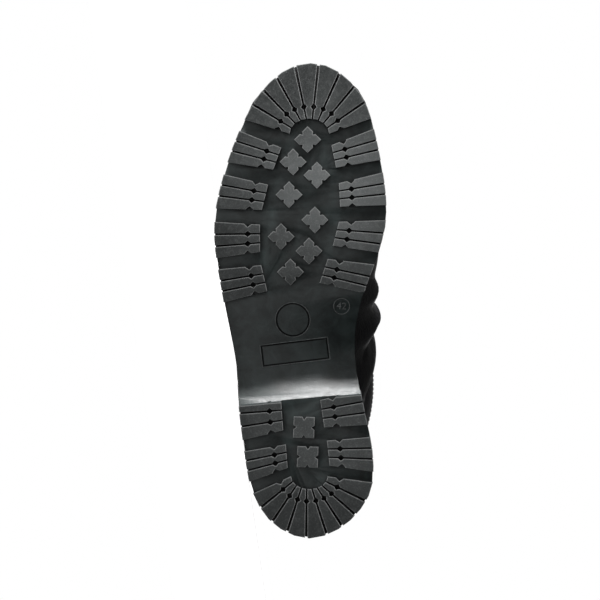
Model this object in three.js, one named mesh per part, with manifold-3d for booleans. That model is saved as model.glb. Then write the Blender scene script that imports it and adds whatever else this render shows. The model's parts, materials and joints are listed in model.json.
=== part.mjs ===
// Motorcycle boot for the right foot, empty and lying on its outer side.
// It is modelled standing, in millimetres: x to the outer side, y from heel to toe, z up from the tread.
// layOnSide then turns the whole boot onto its outer side.

import * as THREE from 'three';
import { mergeVertices } from 'three/addons/utils/BufferGeometryUtils.js';
import Module from 'manifold-3d';

const wasm = await Module();
wasm.setup();

// Driving sizes
const soleLength = 300;
const ballWidth = 109;
const bootHeight = 284;
const heelHeight = 38;
const foreSole = 17;
const toeSpring = 11;
const lugDepth = 4.5;
const archHeight = 20;
const rimHeight = 4.5;
const sideStep = 0.4;
const ribHeight = 4.2;
const grooveWidth = 1.4;
const fanGrooveWidth = 2.1;
const innerGrooveWidth = 1.0;
const neckLength = 4.9;
const neckWidth = 4.0;
const neckFromInside = 7.7;
const studSpan = 16.8;
const heelStudSpan = 18.6;
const wall = 2.2;
const insoleThickness = 4;
const counterThickness = 1.8;
const counterLength = 88;
const counterHeight = 61;
const stripThickness = 1.6;
const stripWidth = 26;
const bandThickness = 1.8;
const bandHeight = 16;
const clearance = 0.3;
const foldDepth = 5.2;

// How far cutters run past what they cut
const cutMargin = 3;
const cutReach = 20;

// Steps of the curved surfaces
const outlineSteps = 72;
const ringSteps = 30;
const sectionRings = 40;
const profileSteps = 34;
const seatSteps = 40;
const fanSteps = 8;

// Rings of the upper stand close together between these shares of the way from toe to collar,
// and the first part of the rings, and the folded part, hold these shares of all rings
const foldedFrom = 0.43;
const foldedTo = 0.79;
const ringsBefore = 0.27;
const ringsFolded = 0.6;

// Shares of the way round to the back over which the folds fade out, and shares of the way down
// over which the sides draw in
const foldFadeStart = 0.45;
const foldFadeEnd = 0.95;
const tuckStart = 0.5;
const tuckEnd = 0.9;

// Ends of the cutters along the boot, as shares of the sole's length
const soleMargin = 0.02;
const seatMargin = 0.1;
const insoleMargin = 0.01;
const heelEnd = 0.4;

// Outline of the sole, from the heel round the outer side to the toe and back on the inner side.
// along: share of the sole's length; out: share of the ball's width
const outline = [
  { along: 0.0, out: 0.0 },
  { along: 0.029, out: 0.201 },
  { along: 0.093, out: 0.324 },
  { along: 0.224, out: 0.392 },
  { along: 0.36, out: 0.431 },
  { along: 0.497, out: 0.496 },
  { along: 0.608, out: 0.545 },
  { along: 0.664, out: 0.549 },
  { along: 0.731, out: 0.519 },
  { along: 0.854, out: 0.408 },
  { along: 0.943, out: 0.271 },
  { along: 0.988, out: 0.125 },
  { along: 1.0, out: 0.0 },
  { along: 0.986, out: -0.15 },
  { along: 0.926, out: -0.309 },
  { along: 0.817, out: -0.4 },
  { along: 0.68, out: -0.446 },
  { along: 0.605, out: -0.405 },
  { along: 0.516, out: -0.316 },
  { along: 0.441, out: -0.271 },
  { along: 0.358, out: -0.274 },
  { along: 0.266, out: -0.32 },
  { along: 0.18, out: -0.366 },
  { along: 0.099, out: -0.354 },
  { along: 0.03, out: -0.21 },
];

// Sole seen from the side. along: share of the sole's length;
// spring: share of the toe spring; rise: share of the heel's height above the fore sole
const sideView = [
  { along: -0.02, spring: 0.0, rise: 1.0 },
  { along: 0.2, spring: 0.0, rise: 1.0 },
  { along: 0.3, spring: 0.0, rise: 0.93 },
  { along: 0.4, spring: 0.0, rise: 0.66 },
  { along: 0.5, spring: 0.0, rise: 0.31 },
  { along: 0.59, spring: 0.0, rise: 0.07 },
  { along: 0.67, spring: 0.0, rise: 0.0 },
  { along: 0.75, spring: 0.08, rise: 0.0 },
  { along: 0.83, spring: 0.28, rise: 0.0 },
  { along: 0.91, spring: 0.56, rise: 0.0 },
  { along: 0.97, spring: 0.84, rise: 0.0 },
  { along: 1.02, spring: 1.08, rise: 0.0 },
];

// Underside of the arch, from the heel's front edge forward; height: share of the arch's height
const arch = [
  { along: 0.288, height: -0.2 },
  { along: 0.2935, height: 0.21 },
  { along: 0.31, height: 0.42 },
  { along: 0.327, height: 0.62 },
  { along: 0.345, height: 0.78 },
  { along: 0.365, height: 0.9 },
  { along: 0.388, height: 0.98 },
  { along: 0.415, height: 0.92 },
  { along: 0.455, height: 0.6 },
  { along: 0.485, height: 0.38 },
  { along: 0.505, height: 0.225 },
  { along: 0.51, height: -0.2 },
];
const breastSlant = -0.093;

// Groups of lugs on the edge. from, to: where the group ends on the outline; the inner line
// has its own ends. side 1 is the outer side, -1 the inner side
const sideGroups = [
  { side: 1, from: 0.855, to: 0.785, innerFrom: 0.82, fromOut: 0.163, innerTo: 0.774, toOut: 0.209 },
  { side: 1, from: 0.762, to: 0.689, innerFrom: 0.742, fromOut: 0.239, innerTo: 0.689, toOut: 0.274 },
  { side: 1, from: 0.664, to: 0.588, innerFrom: 0.658, fromOut: 0.285, innerTo: 0.601, toOut: 0.285 },
  { side: 1, from: 0.566, to: 0.492, innerFrom: 0.573, fromOut: 0.278, innerTo: 0.519, toOut: 0.243 },
  { side: -1, from: 0.864, to: 0.794, innerFrom: 0.825, fromOut: 0.128, innerTo: 0.778, toOut: 0.155 },
  { side: -1, from: 0.77, to: 0.699, innerFrom: 0.745, fromOut: 0.171, innerTo: 0.696, toOut: 0.178 },
  { side: -1, from: 0.671, to: 0.604, innerFrom: 0.664, fromOut: 0.171, innerTo: 0.614, toOut: 0.136 },
  { side: -1, from: 0.582, to: 0.516, innerFrom: 0.586, fromOut: 0.106, innerTo: 0.536, toOut: 0.06 },
  { side: 1, from: 0.295, to: 0.202, innerFrom: 0.29, fromOut: 0.163, innerTo: 0.227, toOut: 0.151 },
  { side: 1, from: 0.181, to: 0.116, innerFrom: 0.197, fromOut: 0.136, innerTo: 0.148, toOut: 0.125 },
  { side: -1, from: 0.312, to: 0.233, innerFrom: 0.29, fromOut: 0.063, innerTo: 0.233, toOut: 0.086 },
  { side: -1, from: 0.209, to: 0.136, innerFrom: 0.205, fromOut: 0.102, innerTo: 0.153, toOut: 0.117 },
];
const barsInGroup = 3;

// Fans of lugs round the toe and the heel: where the fan ends on either side, and its inner arc,
// half an ellipse from one side over its top
const fans = [
  { end: 1, outer: 0.876, inner: 0.884, sideAlong: 0.85, sideOut: 0.115, topAlong: 0.882, bars: 9 },
  { end: 0, outer: 0.093, inner: 0.118, sideAlong: 0.13, sideOut: 0.106, topAlong: 0.103, bars: 9 },
];

// Studs between the groups. turn in degrees
const studs = [
  { along: 0.837, out: 0.01, turn: 0 },
  { along: 0.79, out: 0.094, turn: 0 },
  { along: 0.762, out: -0.044, turn: 0 },
  { along: 0.721, out: 0.117, turn: 0 },
  { along: 0.668, out: -0.032, turn: 0 },
  { along: 0.633, out: 0.163, turn: 0 },
  { along: 0.603, out: 0.002, turn: 0 },
  { along: 0.559, out: 0.109, turn: 0 },
];
const heelStuds = [
  { along: 0.233, out: 0.031, turn: 47 },
  { along: 0.171, out: 0.01, turn: 47 },
];

// Sections of the upper, from the toe over the instep to the collar, a row for each.
// ridge and low: share of the sole's length; ridgeZ and lowZ: share of the boot's height;
// lean: how far the ridge stands to one side, as a share of the ball's width
const sectionPlaces = [
  { ridge: 0.981, ridgeZ: 0.12, low: 0.981, lowZ: 0.075, lean: 0 },
  { ridge: 0.973, ridgeZ: 0.165, low: 0.973, lowZ: 0.04, lean: 0 },
  { ridge: 0.953, ridgeZ: 0.195, low: 0.953, lowZ: 0.015, lean: 0 },
  { ridge: 0.915, ridgeZ: 0.22, low: 0.915, lowZ: 0.0, lean: 0 },
  { ridge: 0.86, ridgeZ: 0.242, low: 0.86, lowZ: -0.01, lean: -0.01 },
  { ridge: 0.79, ridgeZ: 0.262, low: 0.79, lowZ: -0.012, lean: -0.02 },
  { ridge: 0.72, ridgeZ: 0.288, low: 0.71, lowZ: -0.012, lean: -0.03 },
  { ridge: 0.655, ridgeZ: 0.323, low: 0.62, lowZ: -0.008, lean: -0.035 },
  { ridge: 0.6, ridgeZ: 0.367, low: 0.52, lowZ: 0.005, lean: -0.03 },
  { ridge: 0.556, ridgeZ: 0.418, low: 0.41, lowZ: 0.03, lean: -0.02 },
  { ridge: 0.524, ridgeZ: 0.472, low: 0.29, lowZ: 0.055, lean: -0.01 },
  { ridge: 0.502, ridgeZ: 0.526, low: 0.165, lowZ: 0.075, lean: 0 },
  { ridge: 0.488, ridgeZ: 0.578, low: 0.065, lowZ: 0.11, lean: 0 },
  { ridge: 0.48, ridgeZ: 0.628, low: 0.022, lowZ: 0.2, lean: 0 },
  { ridge: 0.477, ridgeZ: 0.676, low: 0.027, lowZ: 0.33, lean: 0 },
  { ridge: 0.477, ridgeZ: 0.73, low: 0.05, lowZ: 0.47, lean: 0 },
  { ridge: 0.479, ridgeZ: 0.8, low: 0.06, lowZ: 0.64, lean: 0 },
  { ridge: 0.482, ridgeZ: 0.88, low: 0.058, lowZ: 0.8, lean: 0 },
  { ridge: 0.486, ridgeZ: 1.0, low: 0.052, lowZ: 1.0, lean: 0 },
];

// The same sections' widths. outer, inner: half widths as shares of the ball's width; belly: where the
// widest point is, from the ridge down; square: 2 is an ellipse, more is boxier; tuck, tuckOut: how far
// the inner and the outer side draw in below
const sectionWidths = [
  { outer: 0.05, inner: 0.06, belly: 0.5, square: 2.0, tuck: 0, tuckOut: 0 },
  { outer: 0.17, inner: 0.19, belly: 0.55, square: 2.2, tuck: 0, tuckOut: 0 },
  { outer: 0.26, inner: 0.275, belly: 0.6, square: 2.3, tuck: 0, tuckOut: 0 },
  { outer: 0.345, inner: 0.335, belly: 0.63, square: 2.4, tuck: 0, tuckOut: 0 },
  { outer: 0.405, inner: 0.375, belly: 0.66, square: 2.4, tuck: 0, tuckOut: 0 },
  { outer: 0.46, inner: 0.402, belly: 0.69, square: 2.4, tuck: 0, tuckOut: 0 },
  { outer: 0.496, inner: 0.414, belly: 0.71, square: 2.35, tuck: 0, tuckOut: 0 },
  { outer: 0.5, inner: 0.414, belly: 0.7, square: 2.3, tuck: 0.04, tuckOut: 0 },
  { outer: 0.475, inner: 0.408, belly: 0.66, square: 2.25, tuck: 0.2, tuckOut: 0 },
  { outer: 0.44, inner: 0.395, belly: 0.55, square: 2.25, tuck: 0.34, tuckOut: 0.06 },
  { outer: 0.43, inner: 0.382, belly: 0.47, square: 2.25, tuck: 0.32, tuckOut: 0.15 },
  { outer: 0.43, inner: 0.372, belly: 0.42, square: 2.2, tuck: 0.18, tuckOut: 0.24 },
  { outer: 0.436, inner: 0.368, belly: 0.38, square: 2.2, tuck: 0.08, tuckOut: 0.28 },
  { outer: 0.448, inner: 0.37, belly: 0.35, square: 2.15, tuck: 0.04, tuckOut: 0.29 },
  { outer: 0.462, inner: 0.375, belly: 0.34, square: 2.15, tuck: 0, tuckOut: 0.24 },
  { outer: 0.472, inner: 0.38, belly: 0.35, square: 2.15, tuck: 0, tuckOut: 0.1 },
  { outer: 0.472, inner: 0.385, belly: 0.38, square: 2.15, tuck: 0, tuckOut: 0.03 },
  { outer: 0.468, inner: 0.388, belly: 0.42, square: 2.15, tuck: 0, tuckOut: 0.0 },
  { outer: 0.462, inner: 0.392, belly: 0.45, square: 2.15, tuck: 0, tuckOut: 0.0 },
];

// Folds at the ankle. front, outer, inner: where the fold lies on the ridge and on either side,
// as shares of the way from the toe to the collar; depth: share of the fold depth, minus stands proud;
// width: share of the same way
const folds = [
  { front: 0.44, outer: 0.415, inner: 0.45, depth: 0.5, width: 0.012 },
  { front: 0.47, outer: 0.45, inner: 0.475, depth: -0.5, width: 0.012 },
  { front: 0.5, outer: 0.485, inner: 0.5, depth: 1.0, width: 0.012 },
  { front: 0.53, outer: 0.525, inner: 0.525, depth: -0.8, width: 0.013 },
  { front: 0.565, outer: 0.575, inner: 0.555, depth: 1.1, width: 0.013 },
  { front: 0.6, outer: 0.625, inner: 0.59, depth: -0.75, width: 0.014 },
  { front: 0.64, outer: 0.68, inner: 0.64, depth: 1.0, width: 0.014 },
  { front: 0.68, outer: 0.735, inner: 0.69, depth: -0.55, width: 0.016 },
  { front: 0.725, outer: 0.785, inner: 0.745, depth: 0.65, width: 0.016 },
  { front: 0.765, outer: 0.83, inner: 0.79, depth: -0.35, width: 0.018 },
];

// Value of one column of a table at a place, on a smooth curve through its rows
function tableValue(rows, key, column, place) {
  const last = rows.length - 1;
  let row = 0;
  while (row < last - 1 && place > rows[row + 1][key]) {
    row += 1;
  }
  const span = rows[row + 1][key] - rows[row][key];
  const t = THREE.MathUtils.clamp((place - rows[row][key]) / span, 0, 1);
  const slope = (index) => {
    const before = rows[Math.max(index - 1, 0)];
    const after = rows[Math.min(index + 1, last)];
    return (after[column] - before[column]) / (after[key] - before[key]) * span;
  };
  const start = rows[row][column];
  const end = rows[row + 1][column];
  const rise = end - start;
  const startSlope = rise === 0 ? 0 : slope(row);
  const endSlope = rise === 0 ? 0 : slope(row + 1);
  const t2 = t * t;
  const t3 = t2 * t;
  return start * (2 * t3 - 3 * t2 + 1) + end * (3 * t2 - 2 * t3)
    + startSlope * (t3 - 2 * t2 + t) + endSlope * (t3 - t2);
}

// Tread surface and top of the sole at a distance from the heel
function treadHeight(y) {
  return toeSpring * tableValue(sideView, 'along', 'spring', y / soleLength);
}

function soleTop(y) {
  const rise = tableValue(sideView, 'along', 'rise', y / soleLength);
  return treadHeight(y) + foreSole + (heelHeight - foreSole) * rise;
}

// Solids
function toSolid(geometry) {
  const bare = geometry.index ? geometry.clone() : geometry;
  bare.deleteAttribute('normal');
  bare.deleteAttribute('uv');
  const merged = mergeVertices(bare, 1e-4);
  return new wasm.Manifold(new wasm.Mesh({
    numProp: 3,
    vertProperties: new Float32Array(merged.attributes.position.array),
    triVerts: new Uint32Array(merged.index.array),
  }));
}

function toGeometry(solid) {
  const mesh = solid.getMesh();
  const geometry = new THREE.BufferGeometry();
  geometry.setAttribute('position', new THREE.BufferAttribute(new Float32Array(mesh.vertProperties), 3));
  geometry.setIndex(new THREE.BufferAttribute(new Uint32Array(mesh.triVerts), 1));
  geometry.computeVertexNormals();
  return geometry;
}

// Upright prism over a closed outline in x, y
function prism(points, low, high) {
  const shape = new THREE.Shape(points.map(([x, y]) => new THREE.Vector2(x, y)));
  const geometry = new THREE.ExtrudeGeometry(shape, { depth: high - low, bevelEnabled: false });
  geometry.translate(0, 0, low);
  return toSolid(geometry);
}

// Solid right across the boot over a closed outline in side view; slant: how far the outline moves
// towards the toe for each millimetre to the outer side
function acrossBoot(ring, slant) {
  const reach = ballWidth;
  const shape = new THREE.Shape(ring.map(([y, z]) => new THREE.Vector2(y, z)));
  const geometry = new THREE.ExtrudeGeometry(shape, { depth: 2 * reach, bevelEnabled: false });
  geometry.applyMatrix4(new THREE.Matrix4().set(
    0, 0, 1, -reach,
    1, 0, slant, -reach * slant,
    0, 1, 0, 0,
    0, 0, 0, 1,
  ));
  return toSolid(geometry);
}

// Slab across the boot between two lines of a side view, each a function of y
function acrossSlab(lowLine, highLine, from, to, steps) {
  const stations = Array.from({ length: steps + 1 }, (_, i) => from + (to - from) * i / steps);
  const low = stations.map((y) => [y, lowLine(y)]);
  const high = stations.map((y) => [y, highLine(y)]);
  return acrossBoot([...low, ...high.reverse()], 0);
}

// The sole's outline as a closed curve, and its points moved in by a margin
const outlineCurve = new THREE.CatmullRomCurve3(
  outline.map(({ along, out }) => new THREE.Vector3(out * ballWidth, along * soleLength, 0)),
  true,
  'centripetal',
);
outlineCurve.arcLengthDivisions = 600;

// 1 where the outline runs anticlockwise seen from above
const facing = outlineCurve.getPointAt(0.25).x > 0 ? 1 : -1;

function outlinePoints(margin) {
  const points = [];
  for (let i = 0; i < outlineSteps; i += 1) {
    const share = i / outlineSteps;
    const point = outlineCurve.getPointAt(share);
    const tangent = outlineCurve.getTangentAt(share);
    points.push([point.x - tangent.y * margin * facing, point.y + tangent.x * margin * facing]);
  }
  return points;
}

// Share of the way round the outline at which it passes a distance along the sole, on one side
function outlineShare(side, along) {
  const toe = 0.5;
  let low = side > 0 ? 0 : 1;
  let high = toe;
  const halvings = 24;
  for (let i = 0; i < halvings; i += 1) {
    const middle = (low + high) / 2;
    if (outlineCurve.getPointAt(middle).y < along * soleLength) {
      low = middle;
    } else {
      high = middle;
    }
  }
  return (low + high) / 2;
}

// Point a little outside the outline at a share of the way round
function rimPoint(share, beyond) {
  const wrapped = ((share % 1) + 1) % 1;
  const point = outlineCurve.getPointAt(wrapped);
  const tangent = outlineCurve.getTangentAt(wrapped);
  return [point.x + tangent.y * beyond * facing, point.y - tangent.x * beyond * facing];
}

// Groove from one point to another, with a width at each end
function groove(start, end, startWidth, endWidth) {
  const dx = end[0] - start[0];
  const dy = end[1] - start[1];
  const length = Math.hypot(dx, dy);
  const ux = dx / length;
  const uy = dy / length;
  const from = startWidth / 2;
  const to = endWidth / 2;
  return prism([
    [start[0] - uy * from, start[1] + ux * from],
    [start[0] + uy * from, start[1] - ux * from],
    [end[0] + uy * to, end[1] - ux * to],
    [end[0] - uy * to, end[1] + ux * to],
  ], -lugDepth, heelHeight);
}

// Diamond that narrows the bars on both sides of a groove
function neck(centre, towards) {
  const dx = towards[0] - centre[0];
  const dy = towards[1] - centre[1];
  const length = Math.hypot(dx, dy);
  const ux = dx / length;
  const uy = dy / length;
  const far = neckLength / 2;
  const wide = neckWidth / 2;
  return prism([
    [centre[0] - ux * far, centre[1] - uy * far],
    [centre[0] + uy * wide, centre[1] - ux * wide],
    [centre[0] + ux * far, centre[1] + uy * far],
    [centre[0] - uy * wide, centre[1] + ux * wide],
  ], -lugDepth, heelHeight);
}

// Point at a share of the length of a line of points
function placeOnLine(points, share) {
  const lengths = points.slice(1).map((p, i) => Math.hypot(p[0] - points[i][0], p[1] - points[i][1]));
  let left = share * lengths.reduce((sum, length) => sum + length, 0);
  let leg = 0;
  while (leg < lengths.length - 1 && left > lengths[leg]) {
    left -= lengths[leg];
    leg += 1;
  }
  const t = left / lengths[leg];
  return [
    points[leg][0] + (points[leg + 1][0] - points[leg][0]) * t,
    points[leg][1] + (points[leg + 1][1] - points[leg][1]) * t,
  ];
}

// One group of bars between the outline and its inner line, with a groove between neighbours
// and a neck on each side of every bar
function lugGroup(fromShare, toShare, innerLine, bars, width) {
  const outerSteps = bars * 2;
  const rim = [];
  for (let i = 0; i <= outerSteps; i += 1) {
    rim.push(rimPoint(fromShare + (toShare - fromShare) * i / outerSteps, cutReach / 2));
  }
  let body = prism([...rim, ...innerLine.slice().reverse()], -lugDepth, heelHeight);
  for (let i = 0; i <= bars; i += 1) {
    const outside = rimPoint(fromShare + (toShare - fromShare) * i / bars, cutReach);
    const inside = placeOnLine(innerLine, i / bars);
    const length = Math.hypot(outside[0] - inside[0], outside[1] - inside[1]);
    const point = (distance) => [
      inside[0] + (outside[0] - inside[0]) * distance / length,
      inside[1] + (outside[1] - inside[1]) * distance / length,
    ];
    body = body.subtract(neck(point(neckFromInside), outside));
    if (i > 0 && i < bars) {
      body = body.subtract(groove(point(-cutMargin), outside, innerGrooveWidth, width));
    }
  }
  return body;
}

function sideLugs(row) {
  const from = outlineShare(row.side, row.from);
  const to = outlineShare(row.side, row.to);
  const inner = [
    [row.side * row.fromOut * ballWidth, row.innerFrom * soleLength],
    [row.side * row.toOut * ballWidth, row.innerTo * soleLength],
  ];
  return lugGroup(from, to, inner, barsInGroup, grooveWidth);
}

function fanLugs(row) {
  let from = outlineShare(1, row.outer);
  const to = outlineShare(-1, row.inner);
  if (row.end === 0) {
    from += 1;
  }
  const inner = [];
  for (let i = 0; i <= fanSteps; i += 1) {
    const angle = i / fanSteps * Math.PI;
    inner.push([
      Math.cos(angle) * row.sideOut * ballWidth,
      THREE.MathUtils.lerp(row.sideAlong, row.topAlong, Math.sin(angle)) * soleLength,
    ]);
  }
  return lugGroup(from, to, inner, row.bars, fanGrooveWidth);
}

// Stud like a cross of four arms with pointed ends
const studShoulder = 0.4;
const studCorner = 0.36;

function stud(row, span) {
  const tip = span / 2;
  const shoulder = tip * studShoulder;
  const corner = tip * studCorner;
  const quarter = [[0, tip], [shoulder, tip - shoulder], [corner, corner], [tip - shoulder, shoulder]];
  const points = [];
  for (let arm = 0; arm < 4; arm += 1) {
    const angle = THREE.MathUtils.degToRad(row.turn) - arm * Math.PI / 2;
    quarter.forEach(([x, y]) => points.push([
      row.out * ballWidth + x * Math.cos(angle) - y * Math.sin(angle),
      row.along * soleLength + x * Math.sin(angle) + y * Math.cos(angle),
    ]));
  }
  return prism(points.reverse(), -lugDepth, heelHeight);
}

function archCutter() {
  return acrossBoot(arch.map(({ along, height }) => [along * soleLength, height * archHeight]), breastSlant);
}

// Outsole: one moulded piece with its lugs, side step, heel and arch
function buildOutsole() {
  const from = -soleMargin * soleLength;
  const to = (1 + soleMargin) * soleLength;
  const full = prism(outlinePoints(0), -lugDepth, bootHeight / 2);
  const inset = prism(outlinePoints(sideStep), -lugDepth, bootHeight / 2);
  const floor = (y) => treadHeight(y) + lugDepth;
  const ribTop = (y) => floor(y) + ribHeight;
  const rimLow = (y) => soleTop(y) - rimHeight;
  const rimMiddle = (y) => soleTop(y) - rimHeight / 2;
  const core = inset.intersect(acrossSlab(floor, rimMiddle, from, to, profileSteps));
  const rim = full.intersect(acrossSlab(rimLow, soleTop, from, to, profileSteps));
  const ribLayer = full.intersect(acrossSlab(treadHeight, ribTop, from, to, profileSteps));
  const lugs = [
    ...fans.map(fanLugs),
    ...sideGroups.map(sideLugs),
    ...studs.map((row) => stud(row, studSpan)),
    ...heelStuds.map((row) => stud(row, heelStudSpan)),
  ].reduce((all, lug) => all.add(lug));
  return core.add(rim).add(lugs.intersect(ribLayer)).subtract(archCutter());
}

// Upper: one ring of points for a share of the way from the toe to the collar
const sections = sectionPlaces.map((places, index) => (
  { ...places, ...sectionWidths[index], at: index / (sectionPlaces.length - 1) }
));

function sectionAt(share) {
  return Object.fromEntries(Object.keys(sections[0]).map((name) => (
    [name, name === 'at' ? share : tableValue(sections, 'at', name, share)]
  )));
}

function foldOffset(share, angle) {
  const side = Math.sin(angle);
  const backward = (1 - Math.cos(angle)) / 2;
  const fade = 1 - THREE.MathUtils.smoothstep(backward, foldFadeStart, foldFadeEnd);
  let offset = 0;
  folds.forEach((fold) => {
    const aside = side > 0 ? fold.outer : fold.inner;
    const place = THREE.MathUtils.lerp(fold.front, aside, Math.min(1, Math.abs(side) * backward * 2));
    const distance = (share - place) / fold.width;
    offset -= fold.depth * foldDepth * Math.exp(-distance * distance) * fade;
  });
  return offset;
}

function ringPoints(share, steps) {
  const row = sectionAt(share);
  const ridge = new THREE.Vector2(row.ridge * soleLength, row.ridgeZ * bootHeight);
  const low = new THREE.Vector2(row.low * soleLength, row.lowZ * bootHeight);
  const middle = (row.outer - row.inner) / 2 * ballWidth;
  const half = (row.outer + row.inner) / 2 * ballWidth;
  const warp = Math.log(row.belly) / Math.log(0.5);
  const points = [];
  for (let i = 0; i < steps; i += 1) {
    const angle = i / steps * 2 * Math.PI;
    const c = Math.cos(angle);
    const s = Math.sin(angle);
    const u = Math.sign(c) * Math.abs(c) ** (2 / row.square);
    const v = Math.sign(s) * Math.abs(s) ** (2 / row.square);
    const down = ((1 - u) / 2) ** warp;
    const drawn = s < 0 ? row.tuck : row.tuckOut;
    const tuck = 1 - drawn * THREE.MathUtils.smoothstep(down, tuckStart, tuckEnd);
    const lean = row.lean * ballWidth * (1 - down);
    const fold = foldOffset(share, angle);
    const x = middle + half * v * tuck + lean;
    const y = THREE.MathUtils.lerp(ridge.x, low.x, down);
    const z = THREE.MathUtils.lerp(ridge.y, low.y, down);
    const span = ridge.distanceTo(low);
    const outX = s;
    const outY = c * (ridge.x - low.x) / span;
    const outZ = c * (ridge.y - low.y) / span;
    points.push(new THREE.Vector3(x + outX * fold, y + outY * fold, z + outZ * fold));
  }
  return points;
}

// Shares of the rings: close together at the folds, wider elsewhere
function ringShares() {
  const shares = [];
  const folded = ringsBefore + ringsFolded;
  for (let i = 0; i <= sectionRings; i += 1) {
    const t = i / sectionRings;
    if (t < ringsBefore) {
      shares.push(t / ringsBefore * foldedFrom);
    } else if (t < folded) {
      shares.push(foldedFrom + (t - ringsBefore) / ringsFolded * (foldedTo - foldedFrom));
    } else {
      shares.push(foldedTo + (t - folded) / (1 - folded) * (1 - foldedTo));
    }
  }
  return shares;
}

const shellRings = ringShares().map((share) => ringPoints(share, ringSteps));

// Normals of the upper's outer surface at the ring points
const shellNormals = shellRings.map((ring, r) => ring.map((point, i) => {
  const before = shellRings[Math.max(r - 1, 0)][i];
  const after = shellRings[Math.min(r + 1, shellRings.length - 1)][i];
  const left = ring[(i + ringSteps - 1) % ringSteps];
  const right = ring[(i + 1) % ringSteps];
  const lengthwise = after.clone().sub(before);
  const around = right.clone().sub(left);
  return lengthwise.cross(around).normalize();
}));

// The upper's own form, moved out by a distance, closed at both ends;
// above: how far it runs past the collar
function upperForm(out, above) {
  const rings = shellRings.map((ring, r) => ring.map((point, i) => (
    point.clone().addScaledVector(shellNormals[r][i], out)
  )));
  const collar = rings[rings.length - 1];
  collar.forEach((point) => {
    point.z = bootHeight;
  });
  if (above > 0) {
    rings.push(collar.map((point) => new THREE.Vector3(point.x, point.y, bootHeight + above)));
  }
  const positions = [];
  rings.forEach((ring) => ring.forEach((point) => positions.push(point.x, point.y, point.z)));
  const indices = [];
  for (let r = 0; r < rings.length - 1; r += 1) {
    for (let i = 0; i < ringSteps; i += 1) {
      const a = r * ringSteps + i;
      const b = r * ringSteps + (i + 1) % ringSteps;
      const c = a + ringSteps;
      const d = b + ringSteps;
      indices.push(a, d, b, a, c, d);
    }
  }
  const addCap = (ring, order) => {
    const middle = ring.reduce((sum, point) => sum.add(point), new THREE.Vector3()).divideScalar(ringSteps);
    const start = rings.indexOf(ring) * ringSteps;
    const centre = positions.length / 3;
    positions.push(middle.x, middle.y, middle.z);
    for (let i = 0; i < ringSteps; i += 1) {
      const next = (i + 1) % ringSteps;
      if (order > 0) {
        indices.push(start + i, start + next, centre);
      } else {
        indices.push(start + next, start + i, centre);
      }
    }
  };
  addCap(rings[0], 1);
  addCap(rings[rings.length - 1], -1);
  const geometry = new THREE.BufferGeometry();
  geometry.setAttribute('position', new THREE.Float32BufferAttribute(positions, 3));
  geometry.setIndex(indices);
  return toSolid(geometry);
}

const outerForm = upperForm(0, 0);
const innerForm = upperForm(-wall, cutReach);

// Everything below the top of the sole and a clearance
function belowSole() {
  const from = -seatMargin * soleLength;
  const to = (1 + seatMargin) * soleLength;
  return acrossSlab(() => -bootHeight, (y) => soleTop(y) + clearance, from, to, seatSteps);
}

function buildUpper() {
  return outerForm.subtract(innerForm).subtract(belowSole());
}

function buildInsole() {
  const from = insoleMargin * soleLength;
  const to = (1 - insoleMargin) * soleLength;
  const low = (y) => soleTop(y) + clearance;
  const high = (y) => low(y) + insoleThickness;
  return upperForm(-wall - clearance, 0).intersect(acrossSlab(low, high, from, to, profileSteps));
}

// Outline of the heel counter from the side: shares of its length forward and of its height over the sole
const counterOutline = [
  { forward: -0.25, up: -0.6 },
  { forward: 1.0, up: -0.6 },
  { forward: 0.98, up: 0.1 },
  { forward: 0.9, up: 0.35 },
  { forward: 0.72, up: 0.66 },
  { forward: 0.5, up: 0.86 },
  { forward: 0.26, up: 0.97 },
  { forward: -0.25, up: 1.0 },
];

// Sheet that lies on the upper's outside, a clearance away from it
function overlay(thickness) {
  return upperForm(clearance + thickness, 0).subtract(upperForm(clearance, cutMargin));
}

function buildCounter() {
  const region = acrossBoot(counterOutline.map(({ forward, up }) => (
    [forward * counterLength, heelHeight + up * counterHeight]
  )), 0);
  return overlay(counterThickness).intersect(region).subtract(belowSole());
}

// Upright box over a rectangle in x, y
function upright(left, right, back, front, low, high) {
  return prism([[left, back], [right, back], [right, front], [left, front]], low, high);
}

// Strip up the back seam, above the counter
function buildBackStrip() {
  const low = heelHeight + counterHeight + clearance;
  const high = bootHeight - bandHeight - clearance;
  const half = stripWidth / 2;
  return overlay(stripThickness).intersect(upright(-half, half, -soleLength / 4, soleLength / 4, low, high));
}

function buildBand() {
  const reach = soleLength;
  const region = upright(-reach, reach, -reach, reach, bootHeight - bandHeight, bootHeight + cutMargin);
  return overlay(bandThickness).intersect(region);
}

// Materials
const rubber = new THREE.MeshStandardMaterial({ color: 0x23282a, roughness: 0.62, metalness: 0 });
const leather = new THREE.MeshStandardMaterial({ color: 0x141416, roughness: 0.34, metalness: 0 });
const overlayLeather = new THREE.MeshStandardMaterial({ color: 0x161618, roughness: 0.36, metalness: 0 });
const lining = new THREE.MeshStandardMaterial({ color: 0x4a4038, roughness: 0.9, metalness: 0 });

const boot = new THREE.Group();

function addPiece(name, solid, material) {
  const mesh = new THREE.Mesh(toGeometry(solid), material.clone());
  mesh.name = name;
  boot.add(mesh);
}

addPiece('outsole', buildOutsole(), rubber);
addPiece('insole', buildInsole(), lining);
addPiece('upper', buildUpper(), leather);
addPiece('heel_counter', buildCounter(), overlayLeather);
addPiece('back_strip', buildBackStrip(), overlayLeather);
addPiece('collar_band', buildBand(), overlayLeather);

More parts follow.
